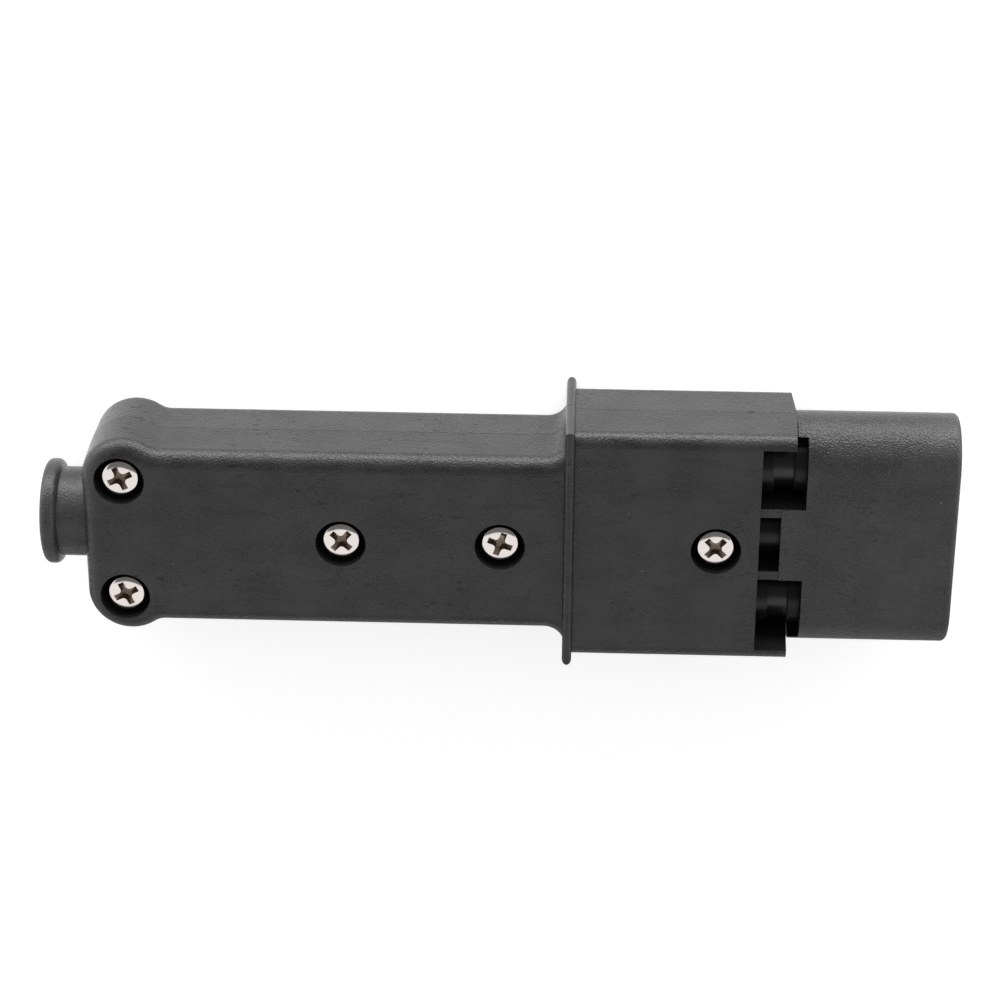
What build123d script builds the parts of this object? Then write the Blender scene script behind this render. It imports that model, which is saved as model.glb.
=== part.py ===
from build123d import *
import math
import os

os.makedirs("parts", exist_ok=True)

# Hand-held charging plug, lying on its back with the screw side up.
# X runs along the plug towards the nose, Y across its width, Z through its thickness.
# The origin is under the middle of the plug, on the surface that it lies on. Millimetres.

# Handle, the stretch that the hand holds
handle_length = 101.5
handle_width = 40.2
body_thickness = 26.8
handle_edge_radius = 3.6
corner_radius = 9.2
corner_bulge = 2.3
corner_blend_radius = 3.5
flare_radius = 4.2
flare_rise = 3.5
flare_overlap = 5.0

# Finger flange between the handle and the head
flange_thickness = 2.0
flange_width = 54.2
flange_height = 29.5

# Head, the box that holds the contact housing
head_length = 46.3
head_width = 52.4
head_edge_radius = 3.0
side_draft = 1.0
mouth_draft = 2.5
notch_length = 7.45

# Walls and clearances
wall = 2.5
side_wall = 2.8
seat_clearance = 0.15
seam_clearance = 0.1

# Locating pins between the half shells
locating_pin_radius = 1.6
locating_pin_height = 1.8
locating_pin_chamfer = 0.4
locating_boss_radius = 3.0
locating_clearance = 0.1
head_pin_from_flange = 10.0
head_pin_spacing = 38.6
handle_pin_from_flange = 42.0
handle_pin_spacing = 28.4

# Contact housing, the moulding that ends in the nose
nose_length = 34.1
nose_width = 52.0
nose_thickness = 20.0
nose_edge_radius = 1.25
tube_spacing = 15.45
outer_tube_radius = 7.1
centre_tube_radius = 6.2
neck_depth = 1.05
neck_length = 4.35
tube_ring_length = 2.55
web_thickness = 1.9
web_recess = 0.3
window_depth = 2.15
window_width = 15.3
bridge_length = 2.9
plate_thickness = 2.5
plate_setback = 9.2
plate_lip = 0.75
tail_tube_radius = 6.5
tail_tube_length = 7.2

# Contacts in the tubes
power_pin_radius = 3.0
sense_pin_radius = 2.0
contact_wall = 1.2
contact_recess = 3.4
contact_bore_length = 24.0
contact_slot_width = 0.7
contact_slot_length = 14.0
entry_clearance = 0.5
entry_chamfer = 0.5
bore_clearance = 0.2
body_step = 0.2
shoulder_step = 0.6
shoulder_length = 2.0
shoulder_depth = 30.6
power_contact_length = 55.0
sense_contact_length = 41.2
crimp_length = 12.0
band_length = 5.0
band_inset = 3.0
band_thickness = 0.5
band_gap = 1.0
clip_thickness = 0.8
clip_bite = 0.7
clip_gap = 3.0
clip_clearance = 0.05

# Cord bushing in the tail of the handle
bushing_reach = 9.6
bushing_rim_radius = 11.3
bushing_rim_thickness = 3.5
bushing_rim_edge_radius = 1.4
bushing_tube_radius = 9.6
bushing_neck_fillet = 0.25
bushing_collar_radius = 10.7
bushing_collar_thickness = 1.8
bushing_tail_radius = 8.3
bushing_tail_length = 6.0
bushing_grip_length = 9.2
bushing_relief_radius = 6.8
cord_radius = 6.2
rib_thickness = 1.6

# Cord clamp inside the handle
clamp_from_end = 29.0
clamp_length = 9.0
clamp_thickness = 2.5
clamp_span = 31.6
clamp_seat_drop = 3.0
clamp_screw_spacing = 24.4
clamp_post_radius = 3.4
cord_rib_half_width = 9.5
cord_rib_drop = 2.0

# Case screws and clamp screws, pan heads with a cross recess, the case screws sunk in the face
end_screw_inset = 8.45
end_screw_spacing = 27.1
middle_screw_from_end = 54.6
neck_screw_from_flange = 13.4
head_screw_from_mouth = 16.4
screw_radius = 1.9
screw_length = 20.0
screw_head_radius = 3.9
screw_head_height = 2.3
screw_rim_height = 1.6
screw_shoulder_radius = 0.35
screw_sink = 1.4
counterbore_radius = 5.3
hole_clearance = 0.35
pilot_clearance = 0.05
boss_radius = 4.1
sleeve_wall = 1.3
seat_thickness = 1.6
recess_width = 1.3
recess_span = 5.0
recess_depth = 1.3
clamp_screw_radius = 1.4
clamp_screw_length = 8.0
clamp_screw_head_radius = 2.8
clamp_screw_head_height = 1.8

# Places along the plug, counted from the tail
plug_length = bushing_reach + handle_length + flange_thickness + head_length + nose_length
tail_x = -plug_length / 2
handle_x = tail_x + bushing_reach
flange_x = handle_x + handle_length
head_x = flange_x + flange_thickness
mouth_x = head_x + head_length
tip_x = mouth_x + nose_length
notch_x = mouth_x - notch_length
mid_z = flange_height / 2
half_thickness = body_thickness / 2
ceiling = half_thickness - wall
handle_inner_y = handle_width / 2 - wall
head_inner_y = head_width / 2 - side_wall

# Screw and pin places on the face
end_screw_x = handle_x + end_screw_inset
case_screws = {
    "case_screw_tail_upper": (end_screw_x, end_screw_spacing / 2, 30),
    "case_screw_tail_lower": (end_screw_x, -end_screw_spacing / 2, 26),
    "case_screw_middle": (handle_x + middle_screw_from_end, 0, 48),
    "case_screw_neck": (flange_x - neck_screw_from_flange, 0, -20),
    "case_screw_head": (mouth_x - head_screw_from_mouth, 0, 45),
}
screw_points = [(x, y) for x, y, turn in case_screws.values()]
screw_seat_z = half_thickness - screw_sink - screw_head_height
sleeve_radius = counterbore_radius + sleeve_wall
sleeve_z = screw_seat_z - seat_thickness
clamp_x = handle_x + clamp_from_end
clamp_points = [(clamp_x, clamp_screw_spacing / 2), (clamp_x, -clamp_screw_spacing / 2)]
clamp_seat_z = clamp_thickness - clamp_seat_drop
locating_points = [
    (head_x + head_pin_from_flange, head_pin_spacing / 2),
    (head_x + head_pin_from_flange, -head_pin_spacing / 2),
    (flange_x - handle_pin_from_flange, handle_pin_spacing / 2),
    (flange_x - handle_pin_from_flange, -handle_pin_spacing / 2),
]

# Places inside the contact housing
nose_x = mouth_x + seam_clearance
plate_x = mouth_x - plate_setback - plate_thickness
plate_half_height = ceiling - 2 * seat_clearance
keeper_x = plate_x + plate_thickness + 2 * seat_clearance
keeper_z = plate_half_height - plate_lip
web_outer_y = centre_tube_radius + seat_clearance + web_thickness
web_x = nose_x - bridge_length
window_y = web_outer_y + window_width / 2
ring_x = nose_x + window_depth - tube_ring_length
neck_x = ring_x - neck_length
outer_tubes = [(tube_spacing, 0), (-tube_spacing, 0)]
socket_x = tip_x - contact_recess
shoulder_x = tip_x - shoulder_depth
clip_x = shoulder_x - shoulder_length - clip_thickness - clip_clearance

# Places of the cord bushing
collar_x = handle_x + wall + seat_clearance
collar_end_x = collar_x + bushing_collar_thickness
bushing_end_x = collar_end_x + bushing_tail_length

# The two half shells meet on the parting plane
front_parting = Plane((0, 0, mid_z))
back_parting = Plane((0, 0, mid_z), x_dir=(1, 0, 0), z_dir=(0, 0, -1))


def across(x, y=0):
    """Plane square to the plug's axis at x, its own x along Y and its y along Z."""
    return Plane((x, y, mid_z), x_dir=(0, 1, 0), z_dir=(1, 0, 0))


# Rim of the finger flange, a square plate whose edge is fully rounded
rim_centre = (flange_x + flange_thickness / 2, 0, mid_z)
with BuildPart() as flange_rim:
    with BuildSketch(Plane(rim_centre, x_dir=(0, 0, 1), z_dir=(0, 1, 0))):
        SlotOverall(flange_height, flange_thickness)
    extrude(amount=flange_width / 2, both=True)
    with BuildSketch(Plane(rim_centre)):
        SlotOverall(flange_width, flange_thickness, rotation=90)
    extrude(amount=flange_height / 2, both=True, mode=Mode.INTERSECT)


def handle_outline(inset):
    """Plan of the handle: screw lugs at the tail, straight sides, a flare into the flange."""
    side_y = handle_width / 2
    lug_x = handle_x + corner_radius
    lug_y = side_y + corner_bulge - corner_radius
    end_x = flange_x + flare_overlap
    flare_x = flange_x - math.sqrt(flare_rise * (2 * flare_radius - flare_rise))
    with BuildSketch(mode=Mode.PRIVATE) as outline:
        with Locations(((lug_x + end_x) / 2, 0)):
            Rectangle(end_x - lug_x, handle_width)
        with Locations((lug_x, 0)):
            Rectangle(2 * corner_radius, 2 * lug_y)
        with Locations((lug_x, lug_y), (lug_x, -lug_y)):
            Circle(corner_radius)
        lug_ends = outline.vertices().filter_by_position(Axis.X, lug_x, lug_x + corner_radius)
        fillet(lug_ends, corner_blend_radius)
        with BuildLine():
            start = Line((flare_x, 0), (flare_x, side_y))
            flare = RadiusArc(start @ 1, (flange_x, side_y + flare_rise), -flare_radius)
            end = Polyline(flare @ 1, (end_x, side_y + flare_rise), (end_x, 0))
            Line(end @ 1, start @ 0)
        make_face()
        mirror(about=Plane.XZ)
        if inset > 0:
            offset(amount=-inset)
    return outline.sketch


def half_shell(parting):
    """One moulded half, built outwards from the parting plane, without screw holes and pins."""
    side_taper = half_thickness * math.tan(math.radians(side_draft))
    mouth_taper = half_thickness * math.tan(math.radians(mouth_draft))
    box_x = flange_x + flange_thickness / 2
    outwards = Axis(parting.origin, parting.z_dir)
    ceiling_centre = (0, parting.z_dir.Z * ceiling / 2)
    with BuildPart() as half:
        # Handle with its rounded outer edge
        with BuildSketch(parting):
            add(handle_outline(0))
        extrude(amount=half_thickness, taper=side_draft)
        outer_face = half.faces().sort_by(outwards)[-1]
        fillet(outer_face.edges().sort_by(Axis.X)[:-1], handle_edge_radius)
        # Head, drafted on its sides and at its mouth
        with BuildSketch(parting):
            with Locations(((box_x + mouth_x) / 2, 0)):
                Rectangle(mouth_x - box_x, head_width)
        with BuildSketch(parting.offset(half_thickness)):
            with Locations(((box_x + mouth_x - mouth_taper) / 2, 0)):
                Rectangle(mouth_x - mouth_taper - box_x, head_width - 2 * side_taper)
        loft(ruled=True)
        outer_edges = half.edges().filter_by(Axis.X).group_by(outwards)[-1]
        fillet(outer_edges.filter_by_position(Axis.X, box_x, mouth_x), head_edge_radius)
        add(flange_rim.part)
        # Hollow of the handle, of the head, and the way between them
        with BuildSketch(parting):
            add(handle_outline(wall))
            with Locations(((head_x + wall + mouth_x + wall) / 2, 0)):
                Rectangle(mouth_x - head_x, 2 * head_inner_y)
            with Locations((head_x, 0)):
                Rectangle(4 * wall + flange_thickness, 2 * handle_inner_y)
        extrude(amount=ceiling, mode=Mode.SUBTRACT)
        # Notch that leaves the contact tubes open to view
        with BuildSketch(parting):
            with Locations((mouth_x, 0)):
                Rectangle(2 * notch_length, 2 * head_inner_y)
        extrude(amount=half_thickness, mode=Mode.SUBTRACT)
        # Keeper strip at the end of the wall, in front of the housing's plate
        with BuildSketch(parting.offset(keeper_z)):
            with Locations(((keeper_x + notch_x) / 2, 0)):
                Rectangle(notch_x - keeper_x, 2 * head_inner_y)
        extrude(amount=ceiling - keeper_z)
        # Cradle behind the plate, cut out for the tail tubes
        with BuildSketch(across(plate_x - seat_clearance)):
            with Locations(ceiling_centre):
                Rectangle(2 * head_inner_y, ceiling)
            with Locations(*outer_tubes):
                Circle(tail_tube_radius + seat_clearance, mode=Mode.SUBTRACT)
        extrude(amount=-rib_thickness)
        # Rib that traps the collar of the cord bushing
        with BuildSketch(across(collar_end_x + seat_clearance)):
            with Locations(ceiling_centre):
                Rectangle(end_screw_spacing, ceiling)
            Circle(bushing_tail_radius + seat_clearance, mode=Mode.SUBTRACT)
        extrude(amount=rib_thickness)
        # Bosses of the locating pins
        with BuildSketch(parting):
            with Locations(*locating_points):
                Circle(locating_boss_radius)
        extrude(amount=ceiling)
        # Hole in the tail wall for the bushing
        with BuildSketch(across(tail_x)):
            Circle(bushing_tube_radius + seam_clearance)
        extrude(amount=handle_x + wall - tail_x, mode=Mode.SUBTRACT)
        split(bisect_by=parting, keep=Keep.TOP)
    return half.part


# Front shell, with sockets for the locating pins and sleeves for the sunk screw heads
with BuildPart() as front_shell:
    add(half_shell(front_parting))
    with BuildSketch(front_parting):
        with Locations(*locating_points):
            Circle(locating_pin_radius + locating_clearance)
    extrude(amount=locating_pin_height + seat_clearance, mode=Mode.SUBTRACT)
    with BuildSketch(front_parting):
        with Locations(*screw_points):
            Circle(boss_radius)
    extrude(amount=ceiling)
    with BuildSketch(front_parting.offset(sleeve_z)):
        with Locations(*screw_points):
            Circle(sleeve_radius)
    extrude(amount=ceiling - sleeve_z)
    with Locations(front_parting.offset(half_thickness)):
        with Locations(*screw_points):
            CounterBoreHole(
                radius=screw_radius + hole_clearance,
                counter_bore_radius=counterbore_radius,
                counter_bore_depth=half_thickness - screw_seat_z,
            )
front_shell.part.label = "front_shell"
export_step(front_shell.part, "parts/front_shell.step")

# Back shell, with locating pins, blind screw bosses, the posts of the cord clamp and its cord ribs
with BuildPart() as back_shell:
    add(half_shell(back_parting))
    with BuildSketch(back_parting):
        with Locations(*locating_points):
            Circle(locating_pin_radius)
    extrude(amount=-locating_pin_height)
    pin_tips = back_shell.faces().sort_by(Axis.Z)[-len(locating_points):]
    chamfer(pin_tips.edges(), locating_pin_chamfer)
    with BuildSketch(back_parting):
        with Locations(*screw_points):
            Circle(boss_radius)
    extrude(amount=ceiling)
    with BuildSketch(back_parting.offset(clamp_seat_drop)):
        with Locations(*clamp_points):
            Circle(clamp_post_radius)
    extrude(amount=ceiling - clamp_seat_drop)
    for rib_x in (clamp_x - clamp_length / 2 - 2 * rib_thickness, clamp_x + clamp_length / 2 + rib_thickness):
        with BuildSketch(across(rib_x)):
            with Locations((0, -(ceiling + cord_rib_drop) / 2)):
                Rectangle(2 * cord_rib_half_width, ceiling - cord_rib_drop)
            Circle(cord_radius, mode=Mode.SUBTRACT)
        extrude(amount=rib_thickness)
    with BuildSketch(back_parting):
        with Locations(*screw_points):
            Circle(screw_radius + pilot_clearance)
    extrude(amount=screw_length - screw_seat_z + hole_clearance, mode=Mode.SUBTRACT)
    with BuildSketch(back_parting):
        with Locations(*clamp_points):
            Circle(clamp_screw_radius + pilot_clearance)
    extrude(amount=clamp_screw_length - clamp_seat_z + hole_clearance, mode=Mode.SUBTRACT)
back_shell.part.label = "back_shell"
export_step(back_shell.part, "parts/back_shell.step")


def turned_block(x, length, radius):
    """Half section of one step of a turned form, for revolving about the sketch's x axis."""
    with Locations((x, 0)):
        Rectangle(length, radius, align=(Align.MIN, Align.MIN))


def along(y):
    """Plane through a contact's axis, its own x along the plug and its y outwards."""
    return Plane((0, y, mid_z), x_dir=(1, 0, 0), z_dir=(0, -1, 0))


def contact_bore(y, pin_radius, rear_x):
    """Space for one contact: open rear, shoulder seat, clip groove, barrel and a small mouth."""
    barrel_radius = pin_radius + contact_wall + bore_clearance
    rear_radius = barrel_radius + shoulder_step
    with BuildPart() as bore:
        with BuildSketch(along(y)):
            turned_block(rear_x, shoulder_x - rear_x, rear_radius)
            groove_length = clip_thickness + 2 * clip_clearance
            turned_block(clip_x - clip_clearance, groove_length, rear_radius + clip_bite)
            turned_block(shoulder_x, socket_x - shoulder_x, barrel_radius)
            turned_block(socket_x, contact_recess, pin_radius + entry_clearance)
        revolve(axis=Axis((0, y, mid_z), (1, 0, 0)))
    return bore.part


# Contact housing: the nose, and behind it the open row of tubes that the shells hold
with BuildPart() as contact_housing:
    with BuildSketch(across(nose_x)):
        SlotOverall(nose_width, nose_thickness)
    extrude(amount=tip_x - nose_x)
    fillet(contact_housing.faces().sort_by(Axis.X)[-1].edges(), nose_edge_radius)
    with BuildSketch(across(nose_x)):
        with Locations((window_y, 0), (-window_y, 0)):
            Rectangle(window_width, nose_thickness)
    extrude(amount=window_depth, mode=Mode.SUBTRACT)
    with BuildSketch(across(web_x)):
        Rectangle(2 * web_outer_y, nose_thickness)
    extrude(amount=nose_x + window_depth - web_x)
    with BuildSketch(across(plate_x)):
        with Locations((web_outer_y - web_thickness / 2, 0), (web_thickness / 2 - web_outer_y, 0)):
            Rectangle(web_thickness, nose_thickness - 2 * web_recess)
        Circle(centre_tube_radius)
    extrude(amount=web_x - plate_x)
    with BuildSketch(across(plate_x)):
        with Locations(*outer_tubes):
            Circle(outer_tube_radius)
    extrude(amount=neck_x - plate_x)
    with BuildSketch(across(neck_x)):
        with Locations(*outer_tubes):
            Circle(outer_tube_radius - neck_depth)
    extrude(amount=neck_length)
    with BuildSketch(across(ring_x)):
        with Locations(*outer_tubes):
            Circle(outer_tube_radius)
    extrude(amount=tube_ring_length)
    # Plate that the shells trap, relieved round the sleeve of the head screw
    with BuildSketch(across(plate_x)):
        Rectangle(2 * (head_inner_y - seat_clearance), 2 * plate_half_height)
        relief_centre = half_thickness + sleeve_z - seat_clearance
        with Locations((0, relief_centre), (0, -relief_centre)):
            Rectangle(2 * (sleeve_radius + seat_clearance), 2 * half_thickness, mode=Mode.SUBTRACT)
    extrude(amount=plate_thickness)
    with BuildSketch(across(plate_x)):
        with Locations(*outer_tubes):
            Circle(tail_tube_radius)
    extrude(amount=-tail_tube_length)
    add(contact_bore(tube_spacing, power_pin_radius, plate_x - tail_tube_length), mode=Mode.SUBTRACT)
    add(contact_bore(-tube_spacing, power_pin_radius, plate_x - tail_tube_length), mode=Mode.SUBTRACT)
    add(contact_bore(0, sense_pin_radius, plate_x), mode=Mode.SUBTRACT)
    entries = contact_housing.faces().sort_by(Axis.X)[-1].inner_wires().edges()
    chamfer(entries, entry_chamfer)
contact_housing.part.label = "contact_housing"
export_step(contact_housing.part, "parts/contact_housing.step")


def socket_contact(y, pin_radius, length):
    """Turned socket: slotted front barrel with a band groove, a shoulder and a crimp barrel."""
    barrel_radius = pin_radius + contact_wall
    rear_x = socket_x - length
    band_x = socket_x - band_inset - band_length
    with BuildPart() as contact:
        with BuildSketch(along(y)):
            turned_block(shoulder_x, band_x - clip_clearance - shoulder_x, barrel_radius)
            groove_length = band_length + 2 * clip_clearance
            turned_block(band_x - clip_clearance, groove_length, barrel_radius - band_thickness)
            turned_block(band_x + band_length + clip_clearance, band_inset - clip_clearance, barrel_radius)
            turned_block(shoulder_x - shoulder_length, shoulder_length, barrel_radius + shoulder_step)
            turned_block(rear_x, shoulder_x - shoulder_length - rear_x, barrel_radius - body_step)
        revolve(axis=Axis((0, y, mid_z), (1, 0, 0)))
        with BuildSketch(across(socket_x, y)):
            Circle(pin_radius)
        extrude(amount=-contact_bore_length, mode=Mode.SUBTRACT)
        with BuildSketch(across(rear_x, y)):
            Circle(pin_radius)
        extrude(amount=crimp_length, mode=Mode.SUBTRACT)
        with BuildSketch(across(socket_x, y)):
            Rectangle(contact_slot_width, 2 * barrel_radius)
            Rectangle(2 * barrel_radius, contact_slot_width)
        extrude(amount=-contact_slot_length, mode=Mode.SUBTRACT)
    return contact.part


def split_ring(x, y, length, inner_radius, outer_radius, gap):
    """Ring about a contact's axis, split on its upper side so that it can spring open."""
    with BuildPart() as ring:
        with BuildSketch(across(x, y)):
            Circle(outer_radius)
            Circle(inner_radius, mode=Mode.SUBTRACT)
            with Locations((0, outer_radius)):
                Rectangle(gap, 2 * (outer_radius - inner_radius + gap / 2), mode=Mode.SUBTRACT)
        extrude(amount=length)
    return ring.part


# The three contacts, each with its spring band and its retaining clip
contacts = {
    "upper_power": (tube_spacing, power_pin_radius, power_contact_length),
    "lower_power": (-tube_spacing, power_pin_radius, power_contact_length),
    "sense": (0, sense_pin_radius, sense_contact_length),
}
for name, (y, pin_radius, length) in contacts.items():
    barrel_radius = pin_radius + contact_wall
    contact = socket_contact(y, pin_radius, length)
    contact.label = name + "_contact"
    export_step(contact, "parts/" + contact.label + ".step")
    band = split_ring(
        socket_x - band_inset - band_length,
        y,
        band_length,
        barrel_radius - band_thickness + clip_clearance,
        barrel_radius + clip_clearance,
        band_gap,
    )
    band.label = name + "_spring_band"
    export_step(band, "parts/" + band.label + ".step")
    clip = split_ring(
        clip_x,
        y,
        clip_thickness,
        barrel_radius - body_step + clip_clearance,
        barrel_radius + shoulder_step + bore_clearance + clip_bite - clip_clearance,
        clip_gap,
    )
    clip.label = name + "_retaining_clip"
    export_step(clip, "parts/" + clip.label + ".step")

# Cord bushing: a rimmed tube whose collar sits behind the tail wall, its bore wider inside the case
with BuildPart() as cord_bushing:
    with BuildSketch(across(tail_x)):
        Circle(bushing_rim_radius)
    extrude(amount=bushing_rim_thickness)
    fillet(cord_bushing.edges().filter_by(GeomType.CIRCLE), bushing_rim_edge_radius)
    with BuildSketch(across(tail_x + bushing_rim_thickness)):
        Circle(bushing_tube_radius)
    extrude(amount=collar_x - tail_x - bushing_rim_thickness)
    rim_end_x = tail_x + bushing_rim_thickness
    rim_end = cord_bushing.edges().filter_by(GeomType.CIRCLE).filter_by_position(
        Axis.X, rim_end_x - seam_clearance, rim_end_x + seam_clearance
    )
    fillet(rim_end.sort_by(SortBy.RADIUS)[0], bushing_neck_fillet)
    with BuildSketch(across(collar_x)):
        Circle(bushing_collar_radius)
    extrude(amount=bushing_collar_thickness)
    with BuildSketch(across(collar_end_x)):
        Circle(bushing_tail_radius)
    extrude(amount=bushing_tail_length)
    with BuildSketch(across(tail_x)):
        Circle(cord_radius)
    extrude(amount=bushing_grip_length, mode=Mode.SUBTRACT)
    with BuildSketch(across(tail_x + bushing_grip_length)):
        Circle(bushing_relief_radius)
    extrude(amount=bushing_end_x - tail_x - bushing_grip_length, mode=Mode.SUBTRACT)
cord_bushing.part.label = "cord_bushing"
export_step(cord_bushing.part, "parts/cord_bushing.step")

# Cord clamp: a saddle that bridges the cord and rests on two posts
with BuildPart() as cord_clamp:
    with BuildSketch(across(clamp_x - clamp_length / 2)):
        Circle(cord_radius + clamp_thickness)
        with Locations((0, clamp_seat_z - clamp_thickness / 2)):
            Rectangle(clamp_span, clamp_thickness)
        Circle(cord_radius, mode=Mode.SUBTRACT)
        with Locations((0, -clamp_seat_drop - half_thickness / 2)):
            Rectangle(clamp_span, half_thickness, mode=Mode.SUBTRACT)
    extrude(amount=clamp_length)
    with BuildSketch(Plane((0, 0, mid_z - clamp_seat_drop))):
        with Locations(*clamp_points):
            Circle(clamp_screw_radius + hole_clearance)
    extrude(amount=clamp_thickness, mode=Mode.SUBTRACT)
cord_clamp.part.label = "cord_clamp"
export_step(cord_clamp.part, "parts/cord_clamp.step")


def pan_head_screw(seat, radius, length, head_radius, head_height):
    """Screw with a low-crowned head on the seat plane and a cross recess in line with the plane's axes."""
    rim_height = screw_rim_height * head_height / screw_head_height
    crown_height = head_height - rim_height
    crown_radius = (head_radius**2 + crown_height**2) / (2 * crown_height)
    with BuildPart() as screw:
        with BuildSketch(Plane(seat.origin, x_dir=seat.x_dir, z_dir=-seat.y_dir)) as half_section:
            with BuildLine():
                tip = Line((0, -length), (radius, radius - length))
                shank = Line(tip @ 1, (radius, 0))
                under = Line(shank @ 1, (head_radius, 0))
                rim = Line(under @ 1, (head_radius, rim_height))
                crown = RadiusArc(rim @ 1, (0, head_height), -crown_radius)
                Line(crown @ 1, tip @ 0)
            make_face()
            shoulder = half_section.vertices().group_by(Axis.X)[-1].sort_by(Axis.Y)[-1]
            fillet(shoulder, screw_shoulder_radius)
        revolve(axis=Axis(seat.origin, seat.z_dir))
        with BuildSketch(seat.offset(head_height)):
            wing_span = recess_span * head_radius / screw_head_radius
            wing_width = recess_width * head_radius / screw_head_radius
            Rectangle(wing_span, wing_width)
            Rectangle(wing_width, wing_span)
        extrude(amount=-recess_depth * head_height / screw_head_height, mode=Mode.SUBTRACT)
    return screw.part


# Five case screws, each turned as it stopped
for name, (x, y, turn) in case_screws.items():
    heading = (math.cos(math.radians(turn)), math.sin(math.radians(turn)), 0)
    seat = Plane((x, y, mid_z + screw_seat_z), x_dir=heading, z_dir=(0, 0, 1))
    screw = pan_head_screw(seat, screw_radius, screw_length, screw_head_radius, screw_head_height)
    screw.label = name
    export_step(screw, "parts/" + name + ".step")

# Two clamp screws
for name, (x, y) in zip(("clamp_screw_upper", "clamp_screw_lower"), clamp_points):
    seat = Plane((x, y, mid_z + clamp_seat_z))
    screw = pan_head_screw(
        seat, clamp_screw_radius, clamp_screw_length, clamp_screw_head_radius, clamp_screw_head_height
    )
    screw.label = name
    export_step(screw, "parts/" + name + ".step")
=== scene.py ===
"""Looks of a hand-held charging plug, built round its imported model.

The plug lies on its back on a pale floor. X runs along it to the nose, Y across it, and Z up, out
of the face with the screw heads. Lengths are in metres, unless a name ends in mm.
"""

import logging
import math
from dataclasses import dataclass, field
from enum import Enum
from typing import Any, Mapping, Optional, Sequence, Union

import bmesh
import bpy
from mathutils import Matrix, Vector


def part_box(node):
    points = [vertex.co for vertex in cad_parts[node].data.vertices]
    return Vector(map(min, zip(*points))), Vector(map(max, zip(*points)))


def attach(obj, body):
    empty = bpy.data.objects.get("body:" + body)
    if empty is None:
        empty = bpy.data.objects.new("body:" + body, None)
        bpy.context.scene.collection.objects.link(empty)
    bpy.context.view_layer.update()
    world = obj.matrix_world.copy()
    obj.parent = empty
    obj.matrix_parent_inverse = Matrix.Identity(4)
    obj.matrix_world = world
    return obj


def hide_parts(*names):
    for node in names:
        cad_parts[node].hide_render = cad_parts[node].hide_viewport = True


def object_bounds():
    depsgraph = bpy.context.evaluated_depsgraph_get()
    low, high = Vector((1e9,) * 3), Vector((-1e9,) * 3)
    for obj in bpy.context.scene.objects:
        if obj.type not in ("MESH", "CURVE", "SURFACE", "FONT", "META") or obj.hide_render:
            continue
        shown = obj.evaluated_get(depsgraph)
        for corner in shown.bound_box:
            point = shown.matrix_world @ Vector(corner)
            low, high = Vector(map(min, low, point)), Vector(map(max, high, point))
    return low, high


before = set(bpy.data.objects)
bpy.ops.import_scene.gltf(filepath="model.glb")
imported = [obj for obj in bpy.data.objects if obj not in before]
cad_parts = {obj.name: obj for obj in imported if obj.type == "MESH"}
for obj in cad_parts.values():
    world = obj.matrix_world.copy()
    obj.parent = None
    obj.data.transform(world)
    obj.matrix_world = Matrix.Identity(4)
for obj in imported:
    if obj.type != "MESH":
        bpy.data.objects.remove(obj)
cad_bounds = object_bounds()

MM = 0.001
LOG = logging.getLogger("charging_plug")

Colour = tuple[float, float, float, float]
Number = Union["Signal", float]
Pair = tuple[float, float]


def grey(level: float, warmth: float = 0.0) -> Colour:
    """Opaque linear grey, a little redder and less blue with warmth."""
    return (level * (1 + warmth), level, level * (1 - warmth), 1.0)


class Signal:
    """A number that varies over a surface, worked with Python's own operators."""

    def __init__(self, graph: "Graph", socket: bpy.types.NodeSocket) -> None:
        """Wraps one output socket of a graph."""
        self.graph = graph
        self.socket = socket

    def __add__(self, other: Number) -> "Signal":
        """Sum."""
        return self.graph.math("ADD", self, other)

    __radd__ = __add__

    def __sub__(self, other: Number) -> "Signal":
        """Difference."""
        return self.graph.math("SUBTRACT", self, other)

    def __rsub__(self, other: Number) -> "Signal":
        """Difference from a plain number."""
        return self.graph.math("SUBTRACT", other, self)

    def __mul__(self, other: Number) -> "Signal":
        """Product."""
        return self.graph.math("MULTIPLY", self, other)

    __rmul__ = __mul__

    def __abs__(self) -> "Signal":
        """Size without sign."""
        return self.graph.math("ABSOLUTE", self, 0.0)

    def __gt__(self, other: Number) -> "Signal":
        """1 where the signal is above the other, else 0."""
        return self.graph.math("GREATER_THAN", self, other)

    def or_(self, other: Number) -> "Signal":
        """The larger of two masks."""
        return self.graph.math("MAXIMUM", self, other)

    def rise(self, low: float, high: float) -> "Signal":
        """Smooth step between two values.

        Args:
            low: the value that gives 0.
            high: the value that gives 1. Below low, the step falls instead.

        Returns:
            The step, from 0 to 1.
        """
        step = self.graph.node(
            "MapRange",
            {"interpolation_type": "SMOOTHSTEP"},
            {"Value": self, "From Min": low, "From Max": high},
        )
        return Signal(self.graph, step.outputs[0])


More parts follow.
